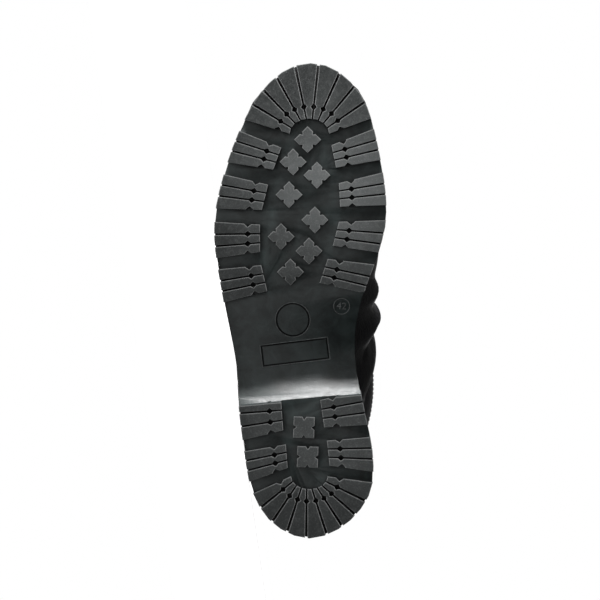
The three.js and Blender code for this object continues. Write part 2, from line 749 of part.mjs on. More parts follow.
// Points of the boot on which it can rest: the fore sole, the heel, and all above the sole
function restPoints() {
  const foreSolePoints = [];
  const heelPoints = [];
  const upperPoints = [];
  boot.children.forEach((mesh) => {
    const position = mesh.geometry.attributes.position;
    for (let i = 0; i < position.count; i += 1) {
      const point = new THREE.Vector3().fromBufferAttribute(position, i);
      if (mesh.name !== 'outsole') {
        upperPoints.push(point);
      } else if (point.y < heelEnd * soleLength) {
        heelPoints.push(point);
      } else {
        foreSolePoints.push(point);
      }
    }
  });
  return [foreSolePoints, heelPoints, upperPoints];
}

// Turn the boot so that its outer side rests on z = 0 at three points
function layOnSide() {
  const groups = restPoints();
  const down = new THREE.Vector3(1, 0, 0);
  const rounds = 12;
  for (let i = 0; i < rounds; i += 1) {
    const feet = groups.map((points) => points.reduce((best, point) => (
      point.dot(down) > best.dot(down) ? point : best
    )));
    const plane = new THREE.Plane().setFromCoplanarPoints(feet[0], feet[1], feet[2]);
    down.copy(plane.normal);
    if (down.x < 0) {
      down.negate();
    }
  }
  const toe = new THREE.Vector3(0, 1, 0);
  toe.addScaledVector(down, -toe.dot(down)).normalize();
  const worldX = toe.negate();
  const worldZ = down.clone().negate();
  const worldY = worldZ.clone().cross(worldX);
  const turn = new THREE.Matrix4().makeBasis(worldX, worldY, worldZ).transpose();
  boot.quaternion.setFromRotationMatrix(turn);
  boot.updateMatrixWorld(true);
  const box = new THREE.Box3().setFromObject(boot, true);
  const middle = box.getCenter(new THREE.Vector3());
  boot.position.set(-middle.x, -middle.y, -box.min.z);
  boot.updateMatrixWorld(true);
}

layOnSide();

export default boot;
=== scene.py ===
"""Right motorcycle boot, lying on its outer side, seen from below the sole."""

import json
import math

import bmesh
import bpy
from mathutils import Matrix, Vector
from mathutils.bvhtree import BVHTree

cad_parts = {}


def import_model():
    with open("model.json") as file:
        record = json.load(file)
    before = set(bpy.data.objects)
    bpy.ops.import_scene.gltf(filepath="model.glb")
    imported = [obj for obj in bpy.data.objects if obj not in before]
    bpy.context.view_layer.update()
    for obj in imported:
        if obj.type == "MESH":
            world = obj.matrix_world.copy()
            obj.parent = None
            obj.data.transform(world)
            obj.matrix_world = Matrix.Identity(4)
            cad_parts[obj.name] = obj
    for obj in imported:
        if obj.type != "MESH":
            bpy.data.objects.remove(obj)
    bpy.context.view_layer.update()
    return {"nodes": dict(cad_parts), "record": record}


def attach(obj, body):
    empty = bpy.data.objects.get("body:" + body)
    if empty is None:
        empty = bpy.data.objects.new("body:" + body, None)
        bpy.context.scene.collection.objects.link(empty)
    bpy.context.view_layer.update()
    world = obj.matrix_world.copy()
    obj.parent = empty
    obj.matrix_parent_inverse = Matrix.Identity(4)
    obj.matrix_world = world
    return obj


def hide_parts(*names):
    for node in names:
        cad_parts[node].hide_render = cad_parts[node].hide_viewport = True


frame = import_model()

MM = 0.001

# Sizes of the boot, in millimetres and in shares of the sole's length
SOLE_LENGTH = 300.0
BALL_WIDTH = 109.0
TOE_SPRING = 11.0
SPRING_START = 0.68
SPRING_POWER = 1.6
HEEL_STUD = (0.031 * BALL_WIDTH, 0.233 * SOLE_LENGTH, 0.0)

# Turn of the lying boot about its own upright axis
YAW = math.radians(8.18)

# The boot's own directions and origin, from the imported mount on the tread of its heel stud
MOUNT = next(m for m in frame["record"]["mounts"] if m["name"] == "heel_tread")
UP = -Vector(MOUNT["axis"]).normalized()
TOE = Vector((-math.cos(YAW), 0.0, math.sin(YAW)))
TOE = (TOE - UP * TOE.dot(UP)).normalized()
OUTER = TOE.cross(UP)
TO_WORLD = Matrix((OUTER, TOE, UP)).transposed().to_4x4()
TO_WORLD.translation = Vector(MOUNT["pos_m"]) - TO_WORLD.to_3x3() @ (Vector(HEEL_STUD) * MM)
TO_BOOT = TO_WORLD.inverted()


def world(x, y, z):
    """World place of a point given in the boot's own millimetres."""
    return TO_WORLD @ (Vector((x, y, z)) * MM)


def to_boot(point):
    """Place of a world point in the boot's own millimetres."""
    return (TO_BOOT @ point) / MM


def tread_height(y):
    """Height of the tread over the heel's tread, in millimetres, at a distance from the heel."""
    share = y / SOLE_LENGTH
    if share <= SPRING_START:
        return 0.0
    return TOE_SPRING * ((share - SPRING_START) / (1 - SPRING_START)) ** SPRING_POWER


def bell(distance, width):
    return math.exp(-(distance / width) ** 2)


def add_object(name, data):
    """Puts an object made of some data into the scene."""
    made = bpy.data.objects.new(name, data)
    bpy.context.scene.collection.objects.link(made)
    return made


# Materials

# Rays of the nodes that look round a point for hollows and edges
NODE_RAYS = 6

# How strongly the painted highlight shows on all edges, and how much more on those that look to the toe
# lamps
ANY_EDGE_HIGHLIGHT = 0.7
TOE_EDGE_HIGHLIGHT = 0.6


class Graph:
    """Small helper that adds shader nodes to one material."""

    def __init__(self, name):
        self.material = bpy.data.materials.new(name)
        self.material.use_nodes = True
        self.tree = self.material.node_tree
        self.shader = self.tree.nodes["Principled BSDF"]
        self.place = self.add("ShaderNodeTexCoord").outputs["Object"]

    def add(self, kind, **values):
        node = self.tree.nodes.new(kind)
        for key, value in values.items():
            setattr(node, key, value)
        return node

    def link(self, source, target):
        self.tree.links.new(source, target)

    def noise(self, scale, detail=4.0, rough=0.5, distortion=0.0):
        node = self.add("ShaderNodeTexNoise")
        node.inputs["Scale"].default_value = scale
        node.inputs["Detail"].default_value = detail
        node.inputs["Roughness"].default_value = rough
        node.inputs["Distortion"].default_value = distortion
        self.link(self.place, node.inputs["Vector"])
        return node.outputs["Fac"]

    def cells(self, scale):
        node = self.add("ShaderNodeTexVoronoi")
        node.inputs["Scale"].default_value = scale
        self.link(self.place, node.inputs["Vector"])
        return node.outputs["Distance"]

    def attribute(self, name):
        return self.add("ShaderNodeAttribute", attribute_name=name).outputs["Fac"]

    def ramp(self, source, stops):
        node = self.add("ShaderNodeValToRGB")
        elements = node.color_ramp.elements
        while len(elements) < len(stops):
            elements.new(0.5)
        for element, (place, value) in zip(elements, stops):
            element.position = place
            element.color = (*value, 1.0)
        self.link(source, node.inputs["Fac"])
        return node.outputs["Color"]

    def grey(self, source, stops):
        return self.ramp(source, [(place, (v, v, v)) for place, v in stops])

    def mix(self, factor, first, second):
        """Mix of two colours, which are sockets 6 and 7 of the node and its output 2."""
        node = self.add("ShaderNodeMix", data_type="RGBA")
        self.socket(node.inputs["Factor"], factor)
        self.socket(node.inputs[6], first)
        self.socket(node.inputs[7], second)
        return node.outputs[2]

    def math(self, operation, first, second):
        node = self.add("ShaderNodeMath", operation=operation)
        self.socket(node.inputs[0], first)
        self.socket(node.inputs[1], second)
        return node.outputs[0]

    def socket(self, target, value):
        """Links a socket to another one, or sets it to a colour or number."""
        if isinstance(value, bpy.types.NodeSocket):
            self.link(value, target)
        elif isinstance(value, tuple):
            target.default_value = (*value, 1.0)
        else:
            target.default_value = value

    def bump(self, height, strength, distance, below=None):
        node = self.add("ShaderNodeBump")
        node.inputs["Strength"].default_value = strength
        node.inputs["Distance"].default_value = distance
        self.link(height, node.inputs["Height"])
        if below is not None:
            self.link(below, node.inputs["Normal"])
        return node.outputs["Normal"]

    def hollow(self, reach):
        """1 deep in a groove, where walls stand close on all sides, and 0 in the open."""
        around = self.add("ShaderNodeAmbientOcclusion", samples=NODE_RAYS)
        around.inputs["Distance"].default_value = reach * MM
        return self.grey(around.outputs["AO"], [(0.35, 1.0), (0.8, 0.0)])

    def rounding(self, reach):
        """Painted highlight: 1 near an edge that looks to the toe lamps, less near other edges, and 0 on
        open faces.
        """
        rounded = self.add("ShaderNodeBevel", samples=NODE_RAYS)
        rounded.inputs["Radius"].default_value = reach * MM
        apart = self.add("ShaderNodeVectorMath", operation="SUBTRACT")
        self.link(rounded.outputs["Normal"], apart.inputs[0])
        self.link(self.add("ShaderNodeNewGeometry").outputs["Normal"], apart.inputs[1])
        size = self.add("ShaderNodeVectorMath", operation="LENGTH")
        self.link(apart.outputs["Vector"], size.inputs[0])
        to_toe = self.add("ShaderNodeVectorMath", operation="DOT_PRODUCT")
        self.link(apart.outputs["Vector"], to_toe.inputs[0])
        to_toe.inputs[1].default_value = TOE
        both = self.math("ADD", self.math("MULTIPLY", size.outputs["Value"], ANY_EDGE_HIGHLIGHT),
                         self.math("MULTIPLY", to_toe.outputs["Value"], TOE_EDGE_HIGHLIGHT))
        return self.grey(both, [(0.06, 0.0), (0.4, 1.0)])

    def set(self, name, value):
        self.socket(self.shader.inputs[name], value)


# Reach of the painted highlight on the lug edges, and of the grooves' painted shade and rougher rubber, in
# millimetres
EDGE_HIGHLIGHT_REACH = 1.0
GROOVE_REACH = 4.2

# Tones of the sole: its floor between the lugs, its lug faces, and what lies on them; the black in the
# grooves is painted shade and the light edge tone a painted highlight
FLOOR_TONES = [(0.4, (0.0005, 0.0027, 0.0028)), (0.62, (0.0125, 0.0185, 0.0182))]
FACE_TONES = [(0.25, (0.006, 0.0075, 0.0075)), (0.95, (0.058, 0.062, 0.062))]
GROOVE_SHADE_TONE = (0.0, 0.0, 0.0)
EDGE_HIGHLIGHT_TONE = (0.22, 0.226, 0.226)
DUST_TONE = (0.10, 0.104, 0.104)
GRIT_TONE = (0.15, 0.155, 0.155)
GROOVE_ROUGH = (0.85, 0.85, 0.85)


def rubber_material():
    """Black rubber: dusty and rubbed on the lug faces, with a painted highlight on their edges and painted
    shade in the grooves.
    """
    g = Graph("sole_rubber")
    face = g.attribute("face")
    edge = g.math("MULTIPLY", g.rounding(EDGE_HIGHLIGHT_REACH), face)
    wear = g.attribute("wear")
    blotch = g.noise(38.0, 6.0, 0.6)
    mottle = g.noise(95.0, 5.0, 0.62, 0.8)
    speck = g.noise(1100.0, 3.0, 0.6)
    scuff = g.noise(240.0, 6.0, 0.7, 1.2)
    cloudy = g.math("ADD", g.math("MULTIPLY", blotch, 0.5), g.math("MULTIPLY", mottle, 0.5))
    floor = g.ramp(cloudy, FLOOR_TONES)
    rubbed = g.math("ADD", g.math("MULTIPLY", wear, 0.75), g.math("MULTIPLY", blotch, 0.4))
    tread = g.ramp(rubbed, FACE_TONES)
    # Painted highlight on the lug edges, broken up by the scuff noise
    edge_highlight = g.math("MULTIPLY", edge, g.grey(scuff, [(0.3, 0.35), (0.7, 0.9)]))
    highlit_tread = g.mix(edge_highlight, tread, EDGE_HIGHLIGHT_TONE)
    # Painted shade: the floor turns black deep in the grooves and at the feet of the lugs
    tone = g.mix(face, g.mix(g.hollow(GROOVE_REACH), floor, GROOVE_SHADE_TONE), highlit_tread)
    shown = g.math("MULTIPLY", face, g.math("ADD", g.math("MULTIPLY", wear, 0.7), 0.3))
    dust = g.math("MULTIPLY", g.grey(scuff, [(0.5, 0.0), (0.72, 0.4)]), g.math("ADD", shown, 0.04))
    dusty = g.mix(dust, tone, DUST_TONE)
    grit = g.math("MULTIPLY", g.grey(speck, [(0.54, 0.0), (0.72, 0.3)]), g.math("ADD", shown, 0.03))
    g.set("Base Color", g.mix(grit, dusty, GRIT_TONE))
    deep = g.math("MULTIPLY", g.hollow(GROOVE_REACH), g.math("SUBTRACT", 1.0, face))
    g.set("Roughness", g.mix(deep, g.grey(scuff, [(0.3, 0.34), (0.7, 0.48)]), GROOVE_ROUGH))
    g.set("Specular IOR Level", 0.29)
    fine = g.bump(speck, 0.4, 0.0002)
    g.set("Normal", g.bump(scuff, 0.18, 0.0004, fine))
    return g.material


def leather_material(name, tint, gloss):
    """Black leather with grain and wrinkles, and a textile lining where the surface is inside."""
    g = Graph(name)
    inside = g.attribute("inside")
    cloud = g.noise(24.0, 5.0, 0.6)
    grain = g.cells(1100.0)
    wrinkles = g.noise(210.0, 6.0, 0.62, 2.6)
    waves = g.noise(55.0, 4.0, 0.55, 1.4)
    weave = g.noise(1600.0, 2.0, 0.6)
    leather = g.ramp(cloud, [(0.3, tuple(0.7 * v for v in tint)), (0.75, tuple(1.5 * v for v in tint))])
    lining = g.ramp(weave, [(0.3, (0.05, 0.047, 0.043)), (0.7, (0.10, 0.095, 0.088))])
    g.set("Base Color", g.mix(inside, leather, lining))
    sheen = g.grey(g.math("ADD", g.math("MULTIPLY", wrinkles, 0.6), g.math("MULTIPLY", cloud, 0.4)),
                   [(0.35, gloss), (0.7, gloss + 0.18)])
    g.set("Roughness", g.mix(inside, sheen, (0.9, 0.9, 0.9)))
    g.set("Specular IOR Level", 0.2)
    fine = g.bump(grain, 0.45, 0.0003)
    folds = g.bump(wrinkles, 0.5, 0.0007, fine)
    g.set("Normal", g.bump(waves, 0.45, 0.0022, folds))
    return g.material


def cloth_material():
    g = Graph("insole_cloth")
    fuzz = g.noise(1400.0, 3.0, 0.7)
    g.set("Base Color", g.ramp(fuzz, [(0.3, (0.05, 0.045, 0.04)), (0.7, (0.11, 0.10, 0.085))]))
    g.set("Roughness", 0.95)
    g.set("Normal", g.bump(fuzz, 0.6, 0.0006))
    return g.material


def plain_rubber(name, low, high, shine):
    """Evenly clouded rubber between two tones."""
    g = Graph(name)
    cloud = g.noise(300.0, 3.0, 0.6)
    g.set("Base Color", g.ramp(cloud, [(0.3, low), (0.7, high)]))
    g.set("Roughness", 0.55)
    g.set("Specular IOR Level", shine)
    g.set("Normal", g.bump(cloud, 0.3, 0.0002))
    return g.material


def thread_material():
    g = Graph("stitch_thread")
    twist = g.noise(2500.0, 2.0, 0.5)
    g.set("Base Color", g.ramp(twist, [(0.3, (0.022, 0.022, 0.022)), (0.7, (0.06, 0.06, 0.06))]))
    g.set("Roughness", 0.55)
    return g.material


RUBBER = rubber_material()
LEATHER = leather_material("boot_leather", (0.006, 0.006, 0.0065), 0.3)
TRIM = leather_material("trim_leather", (0.007, 0.007, 0.0075), 0.34)
CLOTH = cloth_material()
THREAD = thread_material()
MARK = plain_rubber("raised_marks", (0.016, 0.019, 0.019), (0.06, 0.066, 0.066), 0.4)
# Near-black lines on the arch: painted shade standing in for sunk grooves
GROOVE_SHADE_PAINT = plain_rubber("painted_groove_shade", (0.0008, 0.001, 0.001), (0.0016, 0.002, 0.002), 0.04)


# Meshes

# Distance in metres under which two corners are one
MERGE = 1e-6

# Angles in degrees under which two triangles of the leather, or two faces of the sole, become one
JOIN_FACES = 30
JOIN_SHAPES = 50
JOIN_SOLE = 1.0

# Angles in degrees over which a cut edge stays sharp while the leather is smoothed
UPPER_CUT = 55
TRIM_CUT = 50

# Angles in degrees over which an edge is shaded sharp
LEATHER_EDGE = 48
RUBBER_EDGE = 32
THREAD_EDGE = 60


def finish_mesh(bm, name, material, nodes=()):
    """Makes a piece of a bmesh, on the one body of the boot."""
    mesh = bpy.data.meshes.new(name)
    bm.to_mesh(mesh)
    bm.free()
    piece = add_object(name, mesh)
    mesh.materials.append(material)
    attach(piece, "root")
    if nodes:
        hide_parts(*nodes)
    return piece


def apply_modifiers(piece):
    """Replaces a piece's mesh with what its modifiers make."""
    graph = bpy.context.evaluated_depsgraph_get()
    made = bpy.data.meshes.new_from_object(piece.evaluated_get(graph))
    piece.modifiers.clear()
    old = piece.data
    piece.data = made
    bpy.data.meshes.remove(old)


def node_bmesh(node):
    """The mesh of a CAD node, with its doubled corners merged."""
    bm = bmesh.new()
    bm.from_mesh(frame["nodes"][node].data)
    bmesh.ops.remove_doubles(bm, verts=bm.verts, dist=MERGE)
    return bm


def crease_sharp(bm, degrees):
    """Creases the edges over an angle, so that smoothing keeps them."""
    angle = math.radians(degrees)
    layer = bm.edges.layers.float.new("crease_edge")
    for edge in bm.edges:
        if len(edge.link_faces) == 2 and edge.calc_face_angle(0.0) > angle:
            edge[layer] = 1.0


def shade(piece, degrees):
    """Shades a piece smooth, with its edges over an angle sharp."""
    angle = math.radians(degrees)
    mesh = piece.data
    mesh.shade_smooth()
    bm = bmesh.new()
    bm.from_mesh(mesh)
    for edge in bm.edges:
        edge.smooth = not (len(edge.link_faces) == 2 and edge.calc_face_angle(0.0) > angle)
    bm.to_mesh(mesh)
    bm.free()


def soft_form(name, node, material, levels, cut):
    """A soft piece: its solid made smooth by subdivision, with its edges over an angle kept."""
    bm = node_bmesh(node)
    bmesh.ops.join_triangles(bm, faces=bm.faces, angle_face_threshold=math.radians(JOIN_FACES),
                             angle_shape_threshold=math.radians(JOIN_SHAPES))
    crease_sharp(bm, cut)
    piece = finish_mesh(bm, name, material, (node,))
    smooth = piece.modifiers.new("smooth", "SUBSURF")
    smooth.levels = levels
    smooth.render_levels = levels
    apply_modifiers(piece)
    mark_inside(piece)
    shade(piece, LEATHER_EDGE)
    return piece


# Middle line of the hollow, in millimetres: the shaft's axis, and a line along the foot
SHAFT_AXIS = {"x": 4.0, "y": 80.0}
ANKLE_HEIGHT = 105.0
FOOT_HEIGHT = 48.0
FOOT_ENDS = (62.0, 268.0)


def from_middle(place):
    """Direction away from the middle of the hollow, for a place in the boot's millimetres."""
    if place.z > ANKLE_HEIGHT:
        return Vector((place.x - SHAFT_AXIS["x"], place.y - SHAFT_AXIS["y"], 0.0))
    along = max(FOOT_ENDS[0], min(FOOT_ENDS[1], place.y))
    return Vector((place.x, place.y - along, place.z - FOOT_HEIGHT))


def mark_inside(piece):
    """Stores 1 where the surface faces the hollow and 0 outside."""
    mesh = piece.data
    layer = mesh.attributes.new("inside", "FLOAT", "POINT")
    turn = TO_BOOT.to_3x3()
    for vertex in mesh.vertices:
        facing = (turn @ vertex.normal).dot(from_middle(to_boot(vertex.co)))
        layer.data[vertex.index].value = 1.0 if facing < 0.0 else 0.0


# Creases in the leather, given in millimetres. view: seen from the side or from above;
# side: 1 outer, -1 inner, 0 both; each point is (along, up) or (out, along)
CREASES = (
    {"view": "top", "side": 0, "depth": 0.9, "width": 2.6,
     "points": ((-46, 212), (-20, 222), (12, 221), (50, 205))},
    {"view": "top", "side": 0, "depth": 0.7, "width": 2.2,
     "points": ((-46, 200), (-14, 208), (20, 206), (52, 192))},
    {"view": "top", "side": 0, "depth": 0.5, "width": 2.0, "points": ((-40, 228), (-12, 233), (24, 229))},
    {"view": "side", "side": -1, "depth": 0.9, "width": 2.4, "points": ((112, 62), (132, 78), (146, 104))},
    {"view": "side", "side": -1, "depth": 0.8, "width": 2.2, "points": ((88, 74), (112, 94), (132, 128))},
    {"view": "side", "side": -1, "depth": 0.6, "width": 2.0, "points": ((70, 112), (92, 128), (118, 160))},
    {"view": "side", "side": -1, "depth": 0.6, "width": 2.0, "points": ((150, 52), (164, 66), (172, 86))},
    {"view": "side", "side": 1, "depth": 0.9, "width": 2.4, "points": ((106, 60), (128, 80), (142, 108))},
    {"view": "side", "side": 1, "depth": 0.8, "width": 2.2, "points": ((80, 82), (104, 104), (126, 140))},
    {"view": "side", "side": 1, "depth": 0.6, "width": 2.0, "points": ((60, 124), (88, 142), (112, 172))},
    {"view": "side", "side": 1, "depth": 0.6, "width": 2.0, "points": ((146, 50), (160, 66), (170, 88))},
)

# The ridge beside a crease: its height as a share of the depth, and in widths of the crease
# where it stands and where nothing is moved any more
RIDGE_SHARE = 0.45
RIDGE_AWAY = 2.0
CREASE_END = 5.0


def line_distance(u, v, points):
    """Distance of (u, v) from a line of points."""
    best = math.inf
    for (au, av), (bu, bv) in zip(points, points[1:]):
        du, dv = bu - au, bv - av
        t = max(0.0, min(1.0, ((u - au) * du + (v - av) * dv) / (du * du + dv * dv)))
        best = min(best, math.hypot(u - au - t * du, v - av - t * dv))
    return best


def crease_offset(place):
    """How far the creases move the leather out at a place, in millimetres."""
    offset = 0.0
    for crease in CREASES:
        if crease["side"] and crease["side"] * place.x < 0.0:
            continue
        if crease["view"] == "top" and place.z < FOOT_HEIGHT:
            continue
        u, v = (place.x, place.y) if crease["view"] == "top" else (place.y, place.z)
        away = line_distance(u, v, crease["points"]) / crease["width"]
        if away < CREASE_END:
            offset += crease["depth"] * (RIDGE_SHARE * bell(away - RIDGE_AWAY, 1.0) - bell(away, 1.0))
    return offset


def add_creases(piece):
    """Moves the outside and the lining together where the creases are."""
    mesh = piece.data
    inside = mesh.attributes["inside"]
    normals = [vertex.normal.copy() for vertex in mesh.vertices]
    for vertex in mesh.vertices:
        outward = -1.0 if inside.data[vertex.index].value > 0.5 else 1.0
        vertex.co += normals[vertex.index] * (outward * crease_offset(to_boot(vertex.co)) * MM)


# Where the tread is rubbed lighter: place and reach in millimetres, and share
WORN = (
    {"x": -14.0, "y": 218.0, "wide": 50.0, "long": 44.0, "share": 1.05},
    {"x": -6.0, "y": 62.0, "wide": 46.0, "long": 36.0, "share": 0.45},
)

# Heights over the tread in millimetres: up to where the faces of lugs are shaded flat, and
# where the look of a lug face ends
FACE_DEPTH = 0.6
FACE_END = 1.6

# How level a face is to count as flat, as the cosine of its tilt
FLAT = 0.97

# Rounding of the sole's edges, in millimetres, and the angle in degrees over which they get it
EDGE_ROUND = 0.5
ROUND_OVER = 38


def build_outsole():
    """The moulded sole with its edges rounded and its lug faces flat."""
    bm = node_bmesh("outsole")
    bmesh.ops.dissolve_limit(bm, angle_limit=math.radians(JOIN_SOLE), verts=bm.verts, edges=bm.edges)
    piece = finish_mesh(bm, "outsole_rubber", RUBBER, ("outsole",))
    bevel = piece.modifiers.new("edges", "BEVEL")
    bevel.width = EDGE_ROUND * MM
    bevel.segments = 2
    bevel.limit_method = "ANGLE"
    bevel.angle_limit = math.radians(ROUND_OVER)
    apply_modifiers(piece)
    store_wear(piece)
    shade(piece, RUBBER_EDGE)
    flatten_lugs(piece)
    return piece


def store_wear(piece):
    """Stores how far each corner is lug face, and how far it is rubbed."""
    bm = bmesh.new()
    bm.from_mesh(piece.data)
    face = bm.verts.layers.float.new("face")
    wear = bm.verts.layers.float.new("wear")
    for vertex in bm.verts:
        place = to_boot(vertex.co)
        vertex[face] = max(0.0, min(1.0, FACE_END - height_over_tread(vertex.co)))
        vertex[wear] = sum(spot["share"] * bell(place.x - spot["x"], spot["wide"])
                           * bell(place.y - spot["y"], spot["long"]) for spot in WORN)
    bm.to_mesh(piece.data)
    bm.free()


def flatten_lugs(piece):
    """Shades the lug faces flat, so that only their rounded edges bend the light."""
    for polygon in piece.data.polygons:
        if -polygon.normal.dot(UP) > FLAT and height_over_tread(polygon.center) < FACE_DEPTH:
            polygon.use_smooth = False


def height_over_tread(point):
    """How far a world point lies over the tread, in millimetres."""
    place = to_boot(point)
    return place.z - tread_height(place.y)


# Where lines that look for a surface start, in millimetres: below the tread, and beside and
# behind the boot
BELOW = -60.0
BESIDE = 150.0
BEHIND = -100.0


def surface_tree(piece):
    mesh = piece.data
    places = [v.co.copy() for v in mesh.vertices]
    return BVHTree.FromPolygons(places, [tuple(p.vertices) for p in mesh.polygons])


def on_sole(tree, x, y):
    """Point and outward normal of the sole's underside at a place in the boot's millimetres."""
    hit, normal, _, _ = tree.ray_cast(world(x, y, BELOW), UP)
    return hit, normal if normal.dot(UP) < 0 else -normal


def sweep(bm, path, normals, closed, section):
    """Adds a strip along a path; section lists (across, up) pairs in millimetres."""
    count = len(path)
    rows = []
    for i, (point, normal) in enumerate(zip(path, normals)):
        before = path[(i - 1) % count] if closed or i else point
        after = path[(i + 1) % count] if closed or i < count - 1 else point
        across = (after - before).cross(normal).normalized()
        rows.append([bm.verts.new(point + across * (a * MM) + normal * (u * MM)) for a, u in section])
    size = len(section)
    for i in range(count if closed else count - 1):
        for k in range(size):
            bm.faces.new((rows[i][k], rows[i][(k + 1) % size],
                          rows[(i + 1) % count][(k + 1) % size], rows[(i + 1) % count][k]))
    if not closed:
        bm.faces.new(rows[0])
        bm.faces.new(rows[-1][::-1])
    bmesh.ops.recalc_face_normals(bm, faces=bm.faces)


def ring_places(x, y, radius, count):
    return [(x + radius * math.cos(2 * math.pi * i / count), y + radius * math.sin(2 * math.pi * i / count))
            for i in range(count)]


def box_places(x, y, width, height, turn, step):
    """Places round a turned rectangle, a step apart."""
    corners = [(-1, -1), (1, -1), (1, 1), (-1, 1)]
    places = []
    for (ax, ay), (bx, by) in zip(corners, corners[1:] + corners[:1]):
        length = width if ay == by else height
        pieces = max(2, round(length / step))
        for i in range(pieces):
            t = i / pieces
            px = (ax + (bx - ax) * t) * width / 2
            py = (ay + (by - ay) * t) * height / 2
            places.append((x + px * math.cos(turn) - py * math.sin(turn),
                           y + px * math.sin(turn) + py * math.cos(turn)))
    return places


# Marks on the arch, in millimetres
ARCH_CIRCLE = {"x": 10.6, "y": 137.5, "radius": 10.2}
ARCH_BOX = {"x": 9.3, "y": 116.8, "width": 41.6, "height": 12.5, "turn": math.radians(-6.9)}
SIZE_RING = {"x": -20.3, "y": 146.1, "radius": 5.0}
SIZE_NUMBER = "42"
NUMBER_TURN = math.radians(-4.0)
NUMBER_SIZE = 6.2
NUMBER_RISE = 0.35
CIRCLE_STEPS = 72
RING_STEPS = 48
BOX_STEP = 1.5

# Sections of the raised line and of the dark one inside it, as (across, up) pairs, and the gap
# between the two, in millimetres. The dark line stands 0.05 mm proud: its near-black is painted
# shade standing in for a sunk groove
LINE_GAP = 0.85
RIDGE = [(-0.36, -0.3), (-0.2, 0.26), (0.2, 0.26), (0.36, -0.3)]
SHADE_LINE = [(-0.42, -0.2), (-0.42, 0.05), (0.42, 0.05), (0.42, -0.2)]


def mark_outline(bm, tree, places, section):
    """Adds a closed line on the arch through places in the boot's millimetres."""
    hits = [on_sole(tree, x, y) for x, y in places]
    sweep(bm, [hit for hit, _ in hits], [normal for _, normal in hits], True, section)


def build_marks():
    """The plain circle, box and size ring in low relief on the arch, with near-black lines of painted
    groove shade inside the circle and the box.
    """
    tree = surface_tree(OUTSOLE)
    raised = bmesh.new()
    inner = bmesh.new()
    circle = (ARCH_CIRCLE["x"], ARCH_CIRCLE["y"])
    mark_outline(raised, tree, ring_places(*circle, ARCH_CIRCLE["radius"] + LINE_GAP, CIRCLE_STEPS), RIDGE)
    mark_outline(inner, tree, ring_places(*circle, ARCH_CIRCLE["radius"], CIRCLE_STEPS), SHADE_LINE)
    box = (ARCH_BOX["x"], ARCH_BOX["y"])
    width, height, turn = ARCH_BOX["width"], ARCH_BOX["height"], ARCH_BOX["turn"]
    around = box_places(*box, width + 2 * LINE_GAP, height + 2 * LINE_GAP, turn, BOX_STEP)
    mark_outline(raised, tree, around, RIDGE)
    mark_outline(inner, tree, box_places(*box, width, height, turn, BOX_STEP), SHADE_LINE)
    ring = (SIZE_RING["x"], SIZE_RING["y"])
    mark_outline(raised, tree, ring_places(*ring, SIZE_RING["radius"], RING_STEPS), RIDGE)
    add_number(raised, tree)
    finish_mesh(raised, "arch_marks", MARK)
    # Flat near-black strips of painted groove shade
    finish_mesh(inner, "arch_shade_lines", GROOVE_SHADE_PAINT)


def add_number(bm, tree):
    """The plain size number in the ring, raised from the arch."""
    curve = bpy.data.curves.new("number", "FONT")
    curve.body = SIZE_NUMBER
    curve.size = NUMBER_SIZE
    curve.extrude = NUMBER_RISE
    curve.align_x = "CENTER"
    curve.align_y = "CENTER"
    flat = add_object("number", curve)
    bpy.context.view_layer.update()
    mesh = bpy.data.meshes.new_from_object(flat.evaluated_get(bpy.context.evaluated_depsgraph_get()))
    cosine, sine = math.cos(NUMBER_TURN), math.sin(NUMBER_TURN)
    for vertex in mesh.vertices:
        x = vertex.co.x * cosine - vertex.co.y * sine
        y = vertex.co.x * sine + vertex.co.y * cosine
        hit, normal = on_sole(tree, SIZE_RING["x"] - x, SIZE_RING["y"] + y)
        vertex.co = hit + normal * (vertex.co.z * MM)
    bm.from_mesh(mesh)
    bpy.data.objects.remove(flat)
    bpy.data.meshes.remove(mesh)
    bpy.data.curves.remove(curve)


# Stitch rows, in millimetres
STITCH = {"long": 2.5, "wide": 0.75, "high": 0.5, "sunk": 0.15, "step": 3.3}
EDGE_GAP = 2.4
ROW_GAP = 2.6
BAND_LOW = 268.0
BAND_HIGH = 284.0
BAND_ROLL = 1.0
STRIP_HALF = 13.0
STRIP_LOW = 99.3
STRIP_HIGH = 267.7
STRIP_GAP = 2.0

# Rings of one stitch, as shares of its length from the middle and of its full thickness, and
# the width of its top as a share
STITCH_RINGS = ((-0.5, 0.35), (-0.3, 1.0), (0.3, 1.0), (0.5, 0.35))
STITCH_TOP = 0.6

# Edge of the heel counter, worked out from its outline in the CAD source: (along, up) from the
# front to the back, then the axis and the arc in degrees for the way round the heel
COUNTER_EDGE = ((86.2, 44.0), (79.2, 59.4), (63.4, 78.3), (44.0, 90.5), (22.9, 97.2), (12.0, 98.0))
HEEL_AXIS = {"x": 0.0, "y": 45.0}
HEEL_ARC = (140.0, 220.0)

# Steps of the lines that the rows follow
BAND_STEPS = 120
STRIP_STEPS = 50
HEEL_STEPS = 40
EDGE_PARTS = 6


def cast(tree, start, direction):
    """First point that a line meets and the normal there; its start and way in the boot's frame."""
    turn = TO_WORLD.to_3x3()
    hit, normal, _, _ = tree.ray_cast(world(*start), (turn @ Vector(direction)).normalized())
    if hit is None:
        return None
    return hit, normal if normal.dot(turn @ Vector(direction)) < 0 else -normal


def round_axis(tree, axis, height, start, end, steps):
    """Places on a surface round an upright axis; degrees count from the toe to the outer side."""
    places = []
    for i in range(steps + 1):
        angle = math.radians(start + (end - start) * i / steps)
        out = Vector((math.sin(angle), math.cos(angle), 0.0))
        place = cast(tree, Vector((axis["x"], axis["y"], height)) + out * BESIDE, -out)
        if place:
            places.append(place)
    return places


